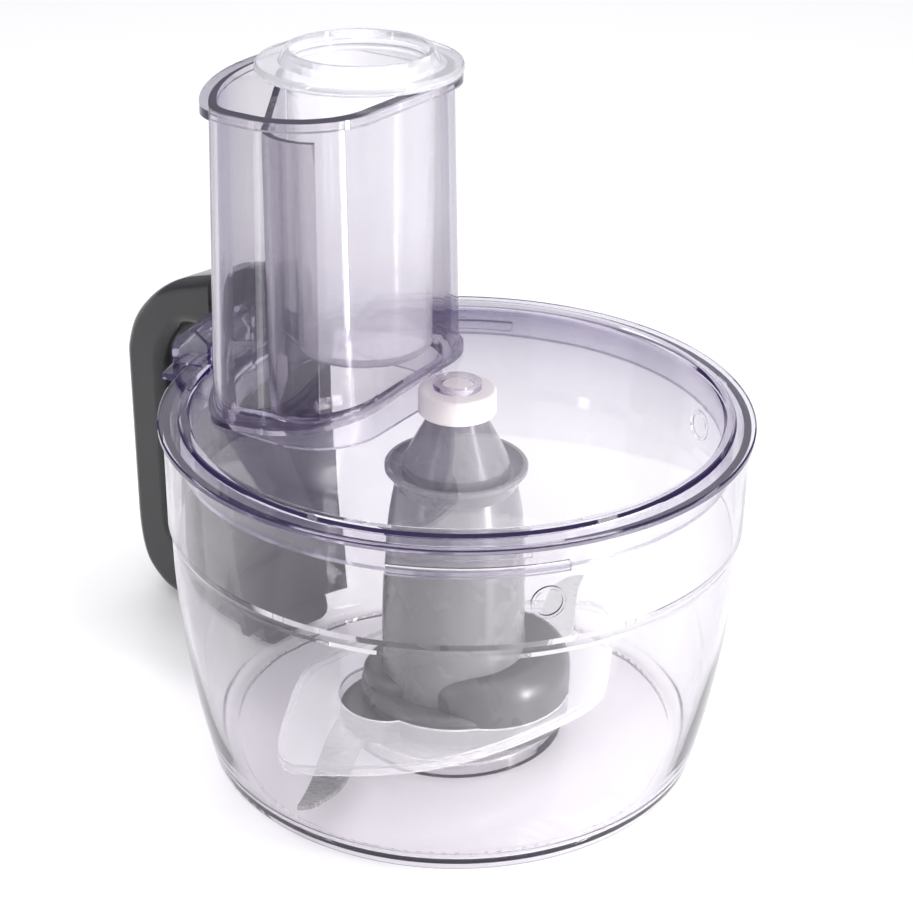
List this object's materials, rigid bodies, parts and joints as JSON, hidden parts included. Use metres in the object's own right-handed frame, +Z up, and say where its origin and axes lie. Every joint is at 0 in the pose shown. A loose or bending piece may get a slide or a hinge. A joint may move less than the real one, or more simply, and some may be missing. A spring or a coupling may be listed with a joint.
{
  "type": "food_processor_bowl",
  "caption": "Clear food processor bowl with domed lid, oval feed tube, round pusher, sabre knife on a tall hub, blade cover and a D-shaped side handle with a lid interlock",
  "frame": {"origin": "centre of the bowl's foot ring, on the plane it stands on", "axes": "+Z up, along the common axis of the bowl and the drive shaft; +Y towards the back; +X to the right. The handle points back left, 46 degrees from +Y towards -X."},
  "size_m": [0.2229, 0.2193, 0.2374],
  "materials": {
    "clear_plastic": "clear moulded plastic with violet edges",
    "pusher_plastic": "milky translucent plastic",
    "hub_plastic": "grey gloss plastic",
    "handle_plastic": "dark grey gloss plastic",
    "cap_plastic": "off-white acetal",
    "bearing_plastic": "self-lubricating bearing plastic",
    "coupling_plastic": "glass-filled black plastic",
    "seal_rubber": "black silicone",
    "blade_steel": "satin stainless steel"
  },
  "bodies": {
    "bowl": {"bowl": "clear_plastic", "bowl_floor": "clear_plastic", "shaft_bush": "bearing_plastic", "shaft_seal": "seal_rubber", "handle_mount": "handle_plastic", "handle_grip": "handle_plastic", "handle_cover": "handle_plastic", "handle_screws": "blade_steel"},
    "knife": {"drive_shaft": "blade_steel", "drive_coupling": "coupling_plastic", "coupling_pin": "blade_steel", "thrust_washer": "blade_steel", "circlip": "blade_steel", "knife_hub": "hub_plastic", "knife_cone": "hub_plastic", "blade_carrier": "hub_plastic", "lower_blade": "blade_steel", "upper_blade": "blade_steel", "blade_cover": "clear_plastic"},
    "bearing_cap": {"bearing_cap": "cap_plastic", "cap_bush": "bearing_plastic"},
    "interlock_rod": {"interlock_rod": "cap_plastic", "interlock_spring": "blade_steel"},
    "lid": {"lid": "clear_plastic", "lid_throat": "clear_plastic", "lid_socket": "clear_plastic", "feed_tube": "clear_plastic", "tube_divider": "clear_plastic", "interlock_tongue": "clear_plastic"},
    "pusher": {"pusher": "pusher_plastic"}
  },
  "joints": [
    {"name": "knife_spin", "type": "hinge", "parent": "bowl", "child": "knife", "pos_m": [0, 0, 0.03], "axis": [0, 0, 1], "continuous": true},
    {"name": "cap_spin", "type": "hinge", "parent": "knife", "child": "bearing_cap", "pos_m": [0, 0, 0.125], "axis": [0, 0, 1], "continuous": true},
    {"name": "lid_turn", "type": "hinge", "parent": "bowl", "child": "lid", "pos_m": [0, 0, 0.125], "axis": [0, 0, 1], "range_deg": [0, 25]},
    {"name": "pusher_slide", "type": "slide", "parent": "lid", "child": "pusher", "axis": [0, 0, 1], "range_m": [0, 0.11]},
    {"name": "interlock_slide", "type": "slide", "parent": "bowl", "child": "interlock_rod", "axis": [0, 0, 1], "range_m": [0, 0.005], "deforming": ["interlock_spring"]}
  ],
  "couplings": [
    {"joint": "interlock_slide", "follows": "lid_turn", "m_per_rad": 0.01}
  ]
}
